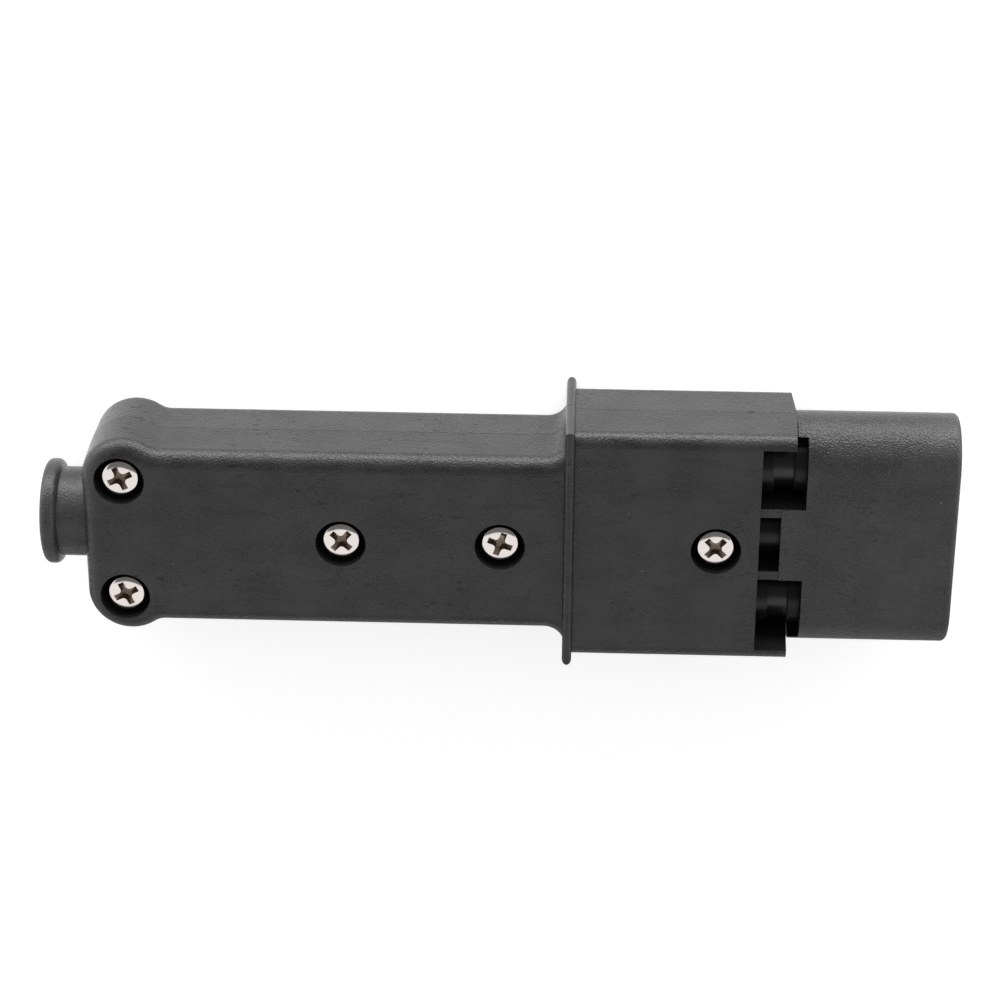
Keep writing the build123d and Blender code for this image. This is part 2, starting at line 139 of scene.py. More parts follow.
class Graph:
    """The node tree of one material or of the world."""

    def __init__(self, tree: bpy.types.NodeTree) -> None:
        """Takes over a tree and empties it."""
        self.tree = tree
        tree.nodes.clear()

    def node(
        self,
        kind: str,
        settings: Optional[Mapping[str, Any]] = None,
        sockets: Optional[Mapping[Union[str, int], Any]] = None,
    ) -> bpy.types.Node:
        """Adds one shader node.

        Args:
            kind: the node's type, without its ShaderNode prefix.
            settings: properties that are set before the sockets.
            sockets: a value, signal or output socket for each input that isn't left at its default.

        Returns:
            The node.
        """
        made = self.tree.nodes.new("ShaderNode" + kind)
        for key, value in (settings or {}).items():
            setattr(made, key, value)
        for key, value in (sockets or {}).items():
            source = value.socket if isinstance(value, Signal) else value
            if isinstance(source, bpy.types.NodeSocket):
                self.tree.links.new(source, made.inputs[key])
            else:
                made.inputs[key].default_value = source
        return made

    def math(self, operation: str, first: Number, second: Number) -> Signal:
        """One Math node as a signal."""
        made = self.node("Math", {"operation": operation}, {0: first, 1: second})
        return Signal(self, made.outputs[0])

    def vector(self, operation: str, first: Any, second: Any) -> bpy.types.NodeSocket:
        """One Vector Math node's vector."""
        return self.node("VectorMath", {"operation": operation}, {0: first, 1: second}).outputs[0]

    def mix(self, share: Number, first: Any, second: Any) -> bpy.types.NodeSocket:
        """Blend of two colours, the second by its share."""
        made = self.node("Mix", {"data_type": "RGBA"}, {0: share, 6: first, 7: second})
        return made.outputs[2]

    def place_mm(self) -> bpy.types.NodeSocket:
        """Place on the piece in its own frame, in millimetres."""
        place = self.node("TexCoord").outputs["Object"]
        return self.vector("MULTIPLY", place, (1 / MM, 1 / MM, 1 / MM))

    def axes(self, place: bpy.types.NodeSocket) -> tuple[Signal, Signal, Signal]:
        """The three coordinates of a place."""
        parts = self.node("SeparateXYZ", None, {0: place})
        return tuple(Signal(self, out) for out in parts.outputs)

    def noise(self, place: bpy.types.NodeSocket, size: float, detail: float = 2.0) -> Signal:
        """Noise whose blotches are about the given size across, in the unit of the place."""
        made = self.node("TexNoise", None, {"Vector": place, "Scale": 1 / size, "Detail": detail})
        return Signal(self, made.outputs["Fac"])

    def specks(self, place: bpy.types.NodeSocket, spacing: float, radius: float, share: float) -> Signal:
        """Sparse round specks.

        Args:
            place: the place on the surface.
            spacing: the usual distance between the cells that may hold one.
            radius: each speck's radius, in the unit of the place.
            share: the share of cells that hold one.

        Returns:
            A mask, 1 on a speck.
        """
        cells = self.node("TexVoronoi", None, {"Vector": place, "Scale": 1 / spacing})
        near = Signal(self, cells.outputs["Distance"]).rise(radius / spacing, 0.5 * radius / spacing)
        drawn = self.node("SeparateColor", None, {0: cells.outputs["Color"]}).outputs[0]
        return near * (Signal(self, drawn) > 1 - share)

    def bump(self, height: Signal, depth: float) -> bpy.types.NodeSocket:
        """Normal of a surface that rises by depth, in metres, where height is 1."""
        made = self.node("Bump", None, {"Height": height, "Distance": depth})
        return made.outputs["Normal"]

    def surface(self, shader: bpy.types.NodeSocket, kind: str = "OutputMaterial") -> None:
        """Sends a shader to the output."""
        self.node(kind, None, {"Surface": shader})


def new_material(title: str) -> tuple[bpy.types.Material, Graph]:
    """Makes an empty node material.

    Args:
        title: its name.

    Returns:
        The material and its graph.
    """
    material = bpy.data.materials.new(title)
    material.use_nodes = True
    return material, Graph(material.node_tree)


def dress(piece: bpy.types.Object, *materials: bpy.types.Material) -> None:
    """Gives a piece these materials in place of what it has.

    Args:
        piece: the mesh object.
        materials: its materials, in the order of its faces' indices.
    """
    piece.data.materials.clear()
    for material in materials:
        piece.data.materials.append(material)


@dataclass(frozen=True)
class Zone:
    """Box in the plug's frame, in millimetres, that a finish keeps apart."""

    low: tuple[float, float, float]
    high: tuple[float, float, float]

    def mask(self, graph: Graph, place: bpy.types.NodeSocket) -> Signal:
        """Mask of the box.

        Args:
            graph: the finish's node tree.
            place: the place on the plug.

        Returns:
            1 inside the box and 0 outside.
        """
        inside: Number = 1.0
        for axis, low, high in zip(graph.axes(place), self.low, self.high):
            centre, reach = (low + high) / 2, (high - low) / 2
            inside = (1 - (abs(axis - centre) > reach)) * inside
        return inside


@dataclass(frozen=True)
class Counterbore:
    """Round hole over a screw head, between the face that it is cut into and the parting, in millimetres,
    where painted shade goes.
    """

    centre: tuple[float, float]
    radius: float
    face: float
    parting: float
    share: float = 0.8
    edge: Pair = (0.05, 0.03)
    drop: Pair = (0.05, 0.35)

    def mask(self, graph: Graph, place: bpy.types.NodeSocket) -> Signal:
        """Mask of the painted shade on the hole's wall and floor.

        Args:
            graph: the finish's node tree.
            place: the place on the plug.

        Returns:
            The share of painted shade in the hole and 0 outside.
        """
        x, y, z = graph.axes(place)
        across, along = x - self.centre[0], y - self.centre[1]
        outer, inner = ((self.radius + edge) ** 2 for edge in self.edge)
        top, under = (self.face - drop for drop in self.drop)
        inside = (across * across + along * along).rise(outer, inner)
        return inside * z.rise(top, under) * (z > self.parting) * self.share


@dataclass(frozen=True)
class Seam:
    """Hairline along a mould's parting, level with the floor."""

    height_mm: float
    half_width_mm: float = 0.15
    gap_length_mm: float = 9.0
    gap_squeeze: tuple[float, float, float] = (1.0, 0.3, 0.3)
    whole_x_mm: float = 12.4
    whole_reach_mm: float = 3.4
    waver_mm: float = 4.0
    waver_reach_mm: float = 0.12
    core: float = 0.3
    shown: Pair = (0.36, 0.56)
    strength: Pair = (0.35, 0.95)
    whole_core: float = 0.7

    def mask(self, graph: Graph, place: bpy.types.NodeSocket) -> Signal:
        """Mask of the hairline, broken up along the sides and whole round one place.

        Args:
            graph: the finish's node tree.
            place: the place on the plug.

        Returns:
            1 where the line is strongest and 0 off it.
        """
        x, _, z = graph.axes(place)
        waver = (graph.noise(place, self.waver_mm) - 0.5) * self.waver_reach_mm
        line = abs(z - self.height_mm + waver).rise(self.half_width_mm, self.core * self.half_width_mm)
        gaps = graph.noise(graph.vector("MULTIPLY", place, self.gap_squeeze), self.gap_length_mm)
        whole = abs(x - self.whole_x_mm).rise(self.whole_reach_mm, self.whole_core * self.whole_reach_mm)
        faint, strong = self.strength
        return line * (gaps.rise(*self.shown) * (strong - faint) + faint).or_(whole)


@dataclass(frozen=True)
class CrossLine:
    """Hairline across the plug at one station, inside a zone."""

    x_mm: float
    zone: Zone
    half_width_mm: float = 0.13
    core: float = 0.4

    def mask(self, graph: Graph, place: bpy.types.NodeSocket) -> Signal:
        """Mask of the hairline.

        Args:
            graph: the finish's node tree.
            place: the place on the plug.

        Returns:
            1 on the line and 0 off it.
        """
        x = graph.axes(place)[0]
        line = abs(x - self.x_mm).rise(self.half_width_mm, self.core * self.half_width_mm)
        return line * self.zone.mask(graph, place)


@dataclass(frozen=True)
class Faint:
    """A zone that counts only in part."""

    zone: Zone
    share: float

    def mask(self, graph: Graph, place: bpy.types.NodeSocket) -> Signal:
        """The share inside the zone and 0 outside."""
        return self.zone.mask(graph, place) * self.share


Marking = Union[Zone, Counterbore, Seam, CrossLine, Faint]


def joined(markings: Sequence[Marking], graph: Graph, place: bpy.types.NodeSocket) -> Number:
    """Joins several markings.

    Args:
        markings: what is joined.
        graph: the finish's node tree.
        place: the place on the plug.

    Returns:
        One mask, 0 where there are no markings.
    """
    mask: Number = 0.0
    for marking in markings:
        mask = marking.mask(graph, place).or_(mask)
    return mask


@dataclass(frozen=True)
class Blotches:
    """Soft patches of noise, in millimetres, drawn out along the plug by a stretch below 1."""

    size_mm: float
    detail: float
    shown: Pair
    stretch: float = 1.0

    def mask(self, graph: Graph, place: bpy.types.NodeSocket) -> Signal:
        """1 in the patches and 0 between them."""
        drawn_out = graph.vector("MULTIPLY", place, (self.stretch, 1.0, 1.0))
        return graph.noise(drawn_out, self.size_mm, self.detail).rise(*self.shown)


@dataclass(frozen=True)
class MouldedPlastic:
    """Dark moulded plastic with a fine sparked grain, faint smudges and a little dust, and where given,
    painted shade in zones and creases, a darker painted shade on smooth zones and a painted highlight line.

    A tone is a grey's share of the plastic's own level.
    """

    title: str
    level: float = 0.0185
    roughness: float = 0.22
    specular: float = 0.45

    grain_mm: float = 0.36
    grain_detail: float = 1.5
    grain_depth: float = 0.14 * MM
    peaks: Pair = (0.5, 0.75)
    peak_share: float = 0.35
    peak_tone: float = 2.0

    mottle_mm: float = 9.0
    mottle_detail: float = 3.0
    mottle: Pair = (0.3, 0.7)
    mottle_tones: Pair = (0.7, 1.3)
    mottle_warmth: float = 0.01
    mottle_roughness: float = 0.1

    smudge: float = 0.55
    streaks: Blotches = Blotches(size_mm=2.6, detail=4.0, shown=(0.56, 0.72), stretch=0.22)
    streak_tone: float = 0.3
    streak_polish: float = 0.05
    scuffs: Blotches = Blotches(size_mm=0.9, detail=2.5, shown=(0.6, 0.7), stretch=0.45)
    scuffed: Blotches = Blotches(size_mm=16.0, detail=1.0, shown=(0.44, 0.56))
    scuff_tone: float = 0.1
    scuff_roughness: float = 0.3

    dust: float = 0.05
    dust_spacing_mm: float = 3.1
    dust_radius_mm: float = 0.13
    dust_level: float = 0.3

    # dark hairlines: real mould seams, and painted shade in creases and grooves
    seams_and_shade_lines: Sequence[Marking] = ()
    seam_and_shade_share: float = 0.9
    seam_and_shade_level: float = 0.001
    dark_roughness: float = 0.4
    # painted highlight: light hairlines along an edge
    painted_highlight_lines: Sequence[Marking] = ()
    painted_highlight_share: float = 0.7
    painted_highlight_level: float = 0.09
    # smooth, ungrained zones; their darker colour is painted shade
    smooth_and_shaded_zones: Sequence[Marking] = ()
    smooth_share: float = 0.9
    smooth_painted_shade_level: float = 0.01
    smooth_roughness: float = 0.3
    # painted shade: a matt near-black mixed in over these zones, where hollows, holes and windows lie in
    # shade
    painted_shade_zones: Sequence[Marking] = ()
    painted_shade_level: float = 0.01

    def material(self) -> bpy.types.Material:
        """Builds the finish.

        Returns:
            The material, in the plug's own frame.
        """
        material, graph = new_material(self.title)
        place = graph.place_mm()
        grain = graph.noise(place, self.grain_mm, self.grain_detail)
        mottle = graph.noise(place, self.mottle_mm, self.mottle_detail)
        streaks = self.streaks.mask(graph, place)
        scuffs = self.scuffs.mask(graph, place) * self.scuffed.mask(graph, place)

        dark, light = self.mottle_tones
        dust = graph.specks(place, self.dust_spacing_mm, self.dust_radius_mm, self.dust)
        colour = graph.mix(
            mottle.rise(*self.mottle), self.tone(dark), grey(self.level * light, self.mottle_warmth)
        )
        colour = graph.mix(streaks * self.smudge, colour, self.tone(self.streak_tone))
        colour = graph.mix(scuffs * self.smudge, colour, self.tone(self.scuff_tone))
        colour = graph.mix(grain.rise(*self.peaks) * self.peak_share, colour, self.tone(self.peak_tone))
        colour = graph.mix(dust, colour, grey(self.dust_level))
        roughness = self.roughness + (mottle - 0.5) * self.mottle_roughness
        roughness = roughness - streaks * self.streak_polish + scuffs * self.scuff_roughness

        height = grain
        # smooth zones lose grain and roughness, and their darker colour is painted shade
        if self.smooth_and_shaded_zones:
            smooth_shaded = joined(self.smooth_and_shaded_zones, graph, place)
            colour = graph.mix(smooth_shaded, colour, grey(self.smooth_painted_shade_level))
            roughness = roughness + (self.smooth_roughness - roughness) * smooth_shaded
            height = height * (1 - smooth_shaded * self.smooth_share)
        # dark hairlines: real mould seams, and painted shade in creases and grooves
        if self.seams_and_shade_lines:
            line = joined(self.seams_and_shade_lines, graph, place)
            colour = graph.mix(line * self.seam_and_shade_share, colour, grey(self.seam_and_shade_level))
            roughness = roughness + line * self.dark_roughness
        # painted highlight: a light hairline along an edge
        if self.painted_highlight_lines:
            line = joined(self.painted_highlight_lines, graph, place)
            colour = graph.mix(line * self.painted_highlight_share, colour, grey(self.painted_highlight_level))
        shader = graph.node(
            "BsdfPrincipled",
            None,
            {
                "Base Color": colour,
                "Roughness": roughness,
                "Specular IOR Level": self.specular,
                "Normal": graph.bump(height, self.grain_depth),
            },
        ).outputs[0]
        # painted shade: the matt near-black diffuse takes over where hollows, holes and windows lie in shade
        if self.painted_shade_zones:
            matt = graph.node("BsdfDiffuse", None, {"Color": grey(self.painted_shade_level), "Roughness": 1.0})
            share = joined(self.painted_shade_zones, graph, place)
            shader = graph.node("MixShader", None, {0: share, 1: shader, 2: matt.outputs[0]}).outputs[0]
        graph.surface(shader)
        return material

    def tone(self, share: float) -> Colour:
        """Grey at a share of the plastic's level."""
        return grey(self.level * share)


class Metal(Enum):
    """Metals of the plug, each with its colour and base roughness."""

    NICKEL = ((0.79, 0.735, 0.705, 1.0), 0.1)
    RECESS = ((0.26, 0.2, 0.16, 1.0), 0.45)
    BRASS = ((0.78, 0.63, 0.38, 1.0), 0.24)
    SPRING_STEEL = ((0.56, 0.56, 0.57, 1.0), 0.28)


@dataclass(frozen=True)
class TurnedMetal:
    """Bare or plated metal with tool marks, fine scratches and a dulled patch or two."""

    title: str
    metal: Metal
    mark_mm: float = 0.72
    mark_stretch: tuple[float, float, float] = (6.0, 0.6, 0.6)
    mark_depth: float = 0.0012 * MM
    mark_roughness: float = 0.08
    tarnish: Colour = (0.32, 0.24, 0.16, 1.0)
    tarnish_share: float = 0.12
    cloud_mm: float = 1.7
    cloud_detail: float = 3.0
    cloud_shown: Pair = (0.55, 0.85)
    cloud_roughness: float = 0.12

    def material(self) -> bpy.types.Material:
        """Builds the finish.

        Returns:
            The material, in the plug's own frame.
        """
        base, roughness = self.metal.value
        material, graph = new_material(self.title)
        place = graph.place_mm()
        marks = graph.noise(graph.vector("MULTIPLY", place, self.mark_stretch), self.mark_mm)
        cloud = graph.noise(place, self.cloud_mm, self.cloud_detail)
        tarnished = cloud.rise(*self.cloud_shown) * self.tarnish_share
        worn = (cloud - 0.5) * self.cloud_roughness + (marks - 0.5) * self.mark_roughness
        shader = graph.node(
            "BsdfPrincipled",
            None,
            {
                "Base Color": graph.mix(tarnished, base, self.tarnish),
                "Metallic": 1.0,
                "Roughness": roughness + worn,
                "Normal": graph.bump(marks, self.mark_depth),
            },
        )
        graph.surface(shader.outputs[0])
        return material


def shared_box_mm(names: Sequence[str]) -> tuple[Vector, Vector]:
    """Finds the box round several nodes.

    Args:
        names: the nodes.

    Returns:
        Its lowest and highest corner, in millimetres.
    """
    boxes = [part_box(name) for name in names]
    low = Vector([min(box[0][i] for box in boxes) for i in range(3)])
    high = Vector([max(box[1][i] for box in boxes) for i in range(3)])
    return low / MM, high / MM


@dataclass
class Casing:
    """The two half shells."""

    nodes: tuple[str, str] = ("front_shell", "back_shell")
    screws: tuple[str, ...] = (
        "case_screw_tail_upper",
        "case_screw_tail_lower",
        "case_screw_middle",
        "case_screw_neck",
        "case_screw_head",
    )
    face_drop_mm: float = 1.35
    wall_mm: float = 2.5
    counterbore_mm: float = 5.3
    flange_x_mm: tuple[float, float] = (14.35, 16.35)
    notch_x_mm: float = 55.25
    handle_hollow_mm: float = 17.65
    head_hollow_mm: float = 23.45
    slack_mm: float = 0.05
    notch_skin_mm: float = 0.12
    overrun_mm: float = 1.0

    low: Vector = field(init=False)
    high: Vector = field(init=False)
    middle: float = field(init=False)
    face: float = field(init=False)

    def __post_init__(self) -> None:
        """Takes the corners of both halves, the parting's height and the face's from the nodes."""
        self.low, self.high = shared_box_mm(self.nodes)
        self.middle = (self.low.z + self.high.z) / 2
        self.face = self.high.z - self.face_drop_mm

    def painted_shade_openings(self) -> list[Marking]:
        """Lists where the shells get painted shade, where they lie in the dark.

        Returns:
            The hollows of the handle and of the head, the notch, and the holes over the screws.
        """
        ceiling = self.face - self.wall_mm - self.middle + self.slack_mm
        skin = self.face - self.notch_skin_mm - self.middle
        tail, mouth = self.low.x + self.wall_mm - self.slack_mm, self.high.x + self.overrun_mm
        flange = self.flange_x_mm[0]
        painted_shade_openings: list[Marking] = [
            Zone((start, -half, self.middle - reach), (end, half, self.middle + reach))
            for start, end, half, reach in (
                (tail, flange, self.handle_hollow_mm, ceiling),
                (flange, mouth, self.head_hollow_mm, ceiling),
                (self.notch_x_mm, mouth, self.head_hollow_mm, skin),
            )
        ]
        for name in self.screws:
            axis = sum(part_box(name), Vector()) / 2 / MM
            hole = Counterbore((axis.x, axis.y), self.counterbore_mm, self.face, self.middle)
            painted_shade_openings.append(hole)
        return painted_shade_openings

    def build(self) -> list[bpy.types.Object]:
        """Dresses both halves.

        Returns:
            The two halves.
        """
        face_skin = (self.low.x, self.low.y, self.face - self.overrun_mm)
        shown = Zone(face_skin, self.high.to_tuple())
        finish = MouldedPlastic(
            "shell_grain",
            # the parting seam, and painted shade in the creases either side of the flange
            seams_and_shade_lines=(Seam(self.middle), *(CrossLine(x, shown) for x in self.flange_x_mm)),
            # painted shade in the hollows, the notch and the holes over the screws
            painted_shade_zones=self.painted_shade_openings(),
        ).material()
        pieces = [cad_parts[name] for name in self.nodes]
        for piece in pieces:
            dress(piece, finish)
        return pieces


@dataclass
class ContactBlock:
    """The housing with its nose, and the three contacts in its tubes."""

    housing: str = "contact_housing"
    contacts: tuple[str, ...] = ("upper_power", "lower_power", "sense")
    window_end_mm: float = 64.93
    neck_x_mm: float = 58.0
    ring_x_mm: float = 62.35
    tube_reach_mm: float = 7.2
    sense_reach_mm: float = 6.3
    wall_y_mm: tuple[tuple[float, float], ...] = ((6.3, 8.3), (22.7, 23.6))
    wall_reach_mm: float = 9.5
    wall_skin_mm: float = 0.1
    # reach of the painted shade up and down from the tubes' middle
    lit_rise_mm: float = 3.2
    parting_drop_mm: float = 1.0
    end_line_mm: float = 0.25
    overrun_mm: float = 1.0
    # shares of painted shade on the rings, the plate and the middle tube
    ring_shade: float = 0.5
    plate_shade: float = 0.35
    sense_shade: float = 0.3

    low: Vector = field(init=False)
    high: Vector = field(init=False)
    middle: float = field(init=False)

    def __post_init__(self) -> None:
        """Takes the housing's corners and the tubes' height from the node."""
        self.low, self.high = shared_box_mm([self.housing])
        self.middle = (self.low.z + self.high.z) / 2

    def slab(self, start: float, near: float, far: float, reach: float) -> Zone:
        """Box from one station to the windows' end.

        Args:
            start: the station.
            near: its lowest Y.
            far: its highest Y.
            reach: how far it goes up and down from the tubes' middle.

        Returns:
            The box.
        """
        return Zone((start, near, self.middle - reach), (self.window_end_mm, far, self.middle + reach))

    def painted_shades(self) -> list[Marking]:
        """Lists where the windows get painted shade, where they lie in the dark.

        Returns:
            The depth between the tubes and the windows' walls, and in part the rings, the plate and
            the middle tube.
        """
        rear, side = self.low.x - self.overrun_mm, self.wall_y_mm[-1][-1]
        painted_shades: list[Marking] = [self.slab(rear, -side, side, self.lit_rise_mm)]
        for near, far in self.wall_y_mm:
            painted_shades.append(self.slab(rear, near, far, self.wall_reach_mm))
            painted_shades.append(self.slab(rear, -far, -near, self.wall_reach_mm))
        end_wall = self.window_end_mm - self.wall_skin_mm
        painted_shades.append(self.slab(end_wall, -side, side, self.wall_reach_mm))
        ring = self.slab(self.ring_x_mm, -side, side, self.tube_reach_mm)
        sense = self.slab(rear, -self.sense_reach_mm, self.sense_reach_mm, self.tube_reach_mm)
        plate = Zone((rear, *ring.low[1:]), (self.neck_x_mm, *ring.high[1:]))
        painted_shades.append(Faint(ring, self.ring_shade))
        painted_shades.append(Faint(plate, self.plate_shade))
        painted_shades.append(Faint(sense, self.sense_shade))
        return painted_shades

    def plastic(self) -> bpy.types.Material:
        """Builds the housing's finish, grained on the nose and smooth on the tubes, with painted shade in
        the windows and a painted highlight line on the necks.

        Returns:
            The material.
        """
        rear, side = self.low.x - self.overrun_mm, self.wall_y_mm[-1][-1]
        tubes = self.slab(rear, -side, side, self.tube_reach_mm)
        upper = self.slab(rear, self.sense_reach_mm, side, self.tube_reach_mm)
        nose = Zone(
            (self.window_end_mm, self.low.y - self.overrun_mm, self.middle - self.high.z),
            (self.high.x + self.overrun_mm, self.high.y + self.overrun_mm, self.middle + self.high.z),
        )
        parting = Seam(
            self.middle - self.parting_drop_mm,
            half_width_mm=0.1,
            gap_length_mm=4.0,
            whole_x_mm=self.high.x,
            whole_reach_mm=9.0,
        )
        return MouldedPlastic(
            "nose_grain",
            level=0.025,
            roughness=0.2,
            specular=0.5,
            grain_depth=0.19 * MM,
            smudge=0.4,
            dust=0.08,
            seams_and_shade_lines=(
                parting,
                # painted shade in the groove between the neck and the ring
                CrossLine(self.ring_x_mm, tubes),
                CrossLine(self.high.x - self.end_line_mm, nose),
            ),
            # painted highlight along the edge of the upper tubes' necks
            painted_highlight_lines=(CrossLine(self.neck_x_mm, upper, half_width_mm=0.1),),
            # the tubes are smooth, and darkened by painted shade
            smooth_and_shaded_zones=(tubes,),
            # painted shade in the windows, in full or in part
            painted_shade_zones=self.painted_shades(),
        ).material()

    def build(self) -> list[bpy.types.Object]:
        """Dresses the housing, the contacts, their bands and their clips.

        Returns:
            All of them.
        """
        plastic = self.plastic()
        brass = TurnedMetal("turned_brass", Metal.BRASS).material()
        steel = TurnedMetal("spring_steel", Metal.SPRING_STEEL).material()
        dressed = [(self.housing, plastic)]
        for name in self.contacts:
            dressed.append((name + "_contact", brass))
            dressed.append((name + "_spring_band", steel))
            dressed.append((name + "_retaining_clip", steel))
        pieces = []
        for name, material in dressed:
            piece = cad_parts[name]
            dress(piece, material)
            pieces.append(piece)
        return pieces


@dataclass
class CordEntry:
    """The bushing at the tail and the saddle that clamps the cord behind it."""

    bushing: str = "cord_bushing"
    clamp: str = "cord_clamp"

    def build(self) -> list[bpy.types.Object]:
        """Dresses the bushing and the clamp.

        Returns:
            The two pieces.
        """
        grained = MouldedPlastic(
            "bushing_grain", level=0.036, roughness=0.26, grain_depth=0.12 * MM, smudge=0.1, dust=0.03
        ).material()
        plain = MouldedPlastic("clamp_moulding", grain_mm=0.5, smudge=0.1, dust=0.0).material()
        pieces = [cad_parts[self.bushing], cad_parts[self.clamp]]
        dress(pieces[0], grained)
        dress(pieces[1], plain)
        return pieces


def object_from(
    shape: bmesh.types.BMesh, title: str, materials: Sequence[bpy.types.Material]
) -> bpy.types.Object:
    """Turns a bmesh into a linked object.

    Args:
        shape: the mesh, which is freed.
        title: the object's name.
        materials: its materials.

    Returns:
        The object.
    """
    mesh = bpy.data.meshes.new(title)
    shape.to_mesh(mesh)
    shape.free()
    made = bpy.data.objects.new(title, mesh)
    bpy.context.scene.collection.objects.link(made)
    dress(made, *materials)
    return made


def apply_modifiers(piece: bpy.types.Object) -> None:
    """Puts a piece's modifiers into its mesh.

    Args:
        piece: the object.
    """
    bpy.context.view_layer.update()
    graph = bpy.context.evaluated_depsgraph_get()
    mesh = bpy.data.meshes.new_from_object(piece.evaluated_get(graph))
    piece.modifiers.clear()
    piece.data = mesh


def smooth_by_angle(piece: bpy.types.Object, limit_deg: float) -> None:
    """Smooth shading, with edges sharp where faces meet at more than the limit."""
    piece.data.polygons.foreach_set("use_smooth", [True] * len(piece.data.polygons))
    piece.data.set_sharp_from_angle(angle=math.radians(limit_deg))


def turned_by(quadrant: int, x: float, y: float) -> tuple[float, float]:
    """A point turned about the axis by whole quarter turns."""
    cos, sin = round(math.cos(quadrant * math.pi / 2)), round(math.sin(quadrant * math.pi / 2))
    return (x * cos - y * sin, x * sin + y * cos)


@dataclass
class CrossScrew:
    """Pan-head screw with a rolled thread and a cross recess, in place of its plain node.

    A share is of the head's radius or height, and a height is counted from the seat of the head.
    """

    node: str
    turn_deg: float
    head_height: float
    length: float
    shank_share: float

    sides: int = 72
    rim_chamfer: float = 0.06 * MM
    crown_share: float = 0.12
    crown_power: int = 4
    crown_rows: int = 12
    shoulder_share: float = 0.07
    shoulder_rows: int = 6
    sharp_angle_deg: float = 32.0

    root_share: float = 0.72
    pitch_share: float = 0.36
    rows_per_turn: int = 8
    ridge_reach: float = 0.26
    bare_turns: float = 0.4
    tip_share: float = 0.02

    wing_reach_share: float = 0.69
    wing_width_share: float = 0.34
    wing_taper: float = 0.5
    wing_width_floor: float = 0.4
    corner_share: float = 0.2
    corner_steps: int = 5
    recess_depth_share: float = 0.72
    recess_mouth: float = 0.12
    proud: float = 0.4 * MM
    point_drop: float = 0.14 * MM

    head_radius: float = field(init=False)
    seat: Vector = field(init=False)

    def __post_init__(self) -> None:
        """Takes the place and the head's width from the node."""
        low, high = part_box(self.node)
        self.head_radius = (high.x - low.x) / 2
        self.seat = Vector(((low.x + high.x) / 2, (low.y + high.y) / 2, low.z + self.length))

    def thread_radius(self, height: float, angle: float) -> float:
        """Radius of the shank below the head, thread and point included.

        Args:
            height: the height of the place, below 0.
            angle: its angle about the axis.

        Returns:
            The radius there.
        """
        crest = self.head_radius * self.shank_share
        root = crest * self.root_share
        pitch = self.head_radius * self.pitch_share
        phase = (height / pitch - angle / math.tau) % 1.0
        ridge = max(0.0, 1 - abs(phase - 0.5) / self.ridge_reach)
        run_out = min(1.0, max(0.0, -height / pitch - self.bare_turns))
        point = min(1.0, (height + self.length) / crest)
        return max(self.tip_share * crest, (root + (crest - root) * ridge * run_out) * point)

    def head_profile(self) -> list[tuple[float, float]]:
        """Draws the head's rim, tight shoulder and low crown.

        Returns:
            Radius and height of each row, from the seat up to just short of the axis.
        """
        rise = self.head_height * self.crown_share
        shoulder = self.head_radius * self.shoulder_share
        inner = self.head_radius - shoulder
        slope = math.atan(self.crown_power * rise / inner)
        edge = inner + shoulder * math.sin(slope)
        rim = self.head_height - rise - shoulder * math.cos(slope)
        profile = [(self.head_radius - self.rim_chamfer, 0.0), (self.head_radius, self.rim_chamfer)]
        for i in range(self.shoulder_rows):
            turn = (math.pi / 2 - slope) * i / self.shoulder_rows
            profile.append((inner + shoulder * math.cos(turn), rim + shoulder * math.sin(turn)))
        for i in range(self.crown_rows):
            share = 1 - i / self.crown_rows
            profile.append((edge * share, self.head_height - rise * share**self.crown_power))
        return profile

    def rows(self) -> list[list[tuple[float, float]]]:
        """Lists the rings of the screw from the point up to the crown.

        Returns:
            Each ring as radius and height round the axis.
        """
        angles = [math.tau * i / self.sides for i in range(self.sides)]
        pitch = self.head_radius * self.pitch_share
        steps = math.ceil(self.length / pitch * self.rows_per_turn)
        heights = [-self.length + self.length * i / steps for i in range(steps + 1)]
        rings = [[(self.thread_radius(h, a), h) for a in angles] for h in heights]
        rings.extend([point] * self.sides for point in self.head_profile())
        return rings

    def blank(self) -> bmesh.types.BMesh:
        """Makes the screw before its recess is punched.

        Returns:
            Its closed mesh.
        """
        shape = bmesh.new()
        rings = []
        for row in self.rows():
            ring = []
            for i, (radius, height) in enumerate(row):
                angle = math.tau * i / self.sides
                place = (radius * math.cos(angle), radius * math.sin(angle), height)
                ring.append(shape.verts.new(place))
            rings.append(ring)
        for lower, upper in zip(rings, rings[1:]):
            for i in range(self.sides):
                j = (i + 1) % self.sides
                shape.faces.new((lower[i], lower[j], upper[j], upper[i]))
        for ring, height in ((rings[0], -self.length), (rings[-1], self.head_height)):
            tip = shape.verts.new((0, 0, height))
            for i in range(self.sides):
                shape.faces.new((ring[i], ring[(i + 1) % self.sides], tip))
        bmesh.ops.recalc_face_normals(shape, faces=shape.faces)
        return shape

    def recess_outline(self, reach: float, width: float) -> list[tuple[float, float]]:
        """Cross outline of the recess at one depth.

        Args:
            reach: distance from the axis to the end of a wing.
            width: width of a wing.

        Returns:
            The corners of the cross, with rounded inner corners.
        """
        half = width / 2
        corner = self.corner_share * width / self.wing_width_share
        quarter = [(reach, -half), (reach, half)]
        for step in range(self.corner_steps + 1):
            turn = math.pi / 2 * step / self.corner_steps
            quarter.append((half + corner * (1 - math.sin(turn)), half + corner * (1 - math.cos(turn))))
        return [turned_by(quadrant, x, y) for quadrant in range(4) for x, y in quarter]

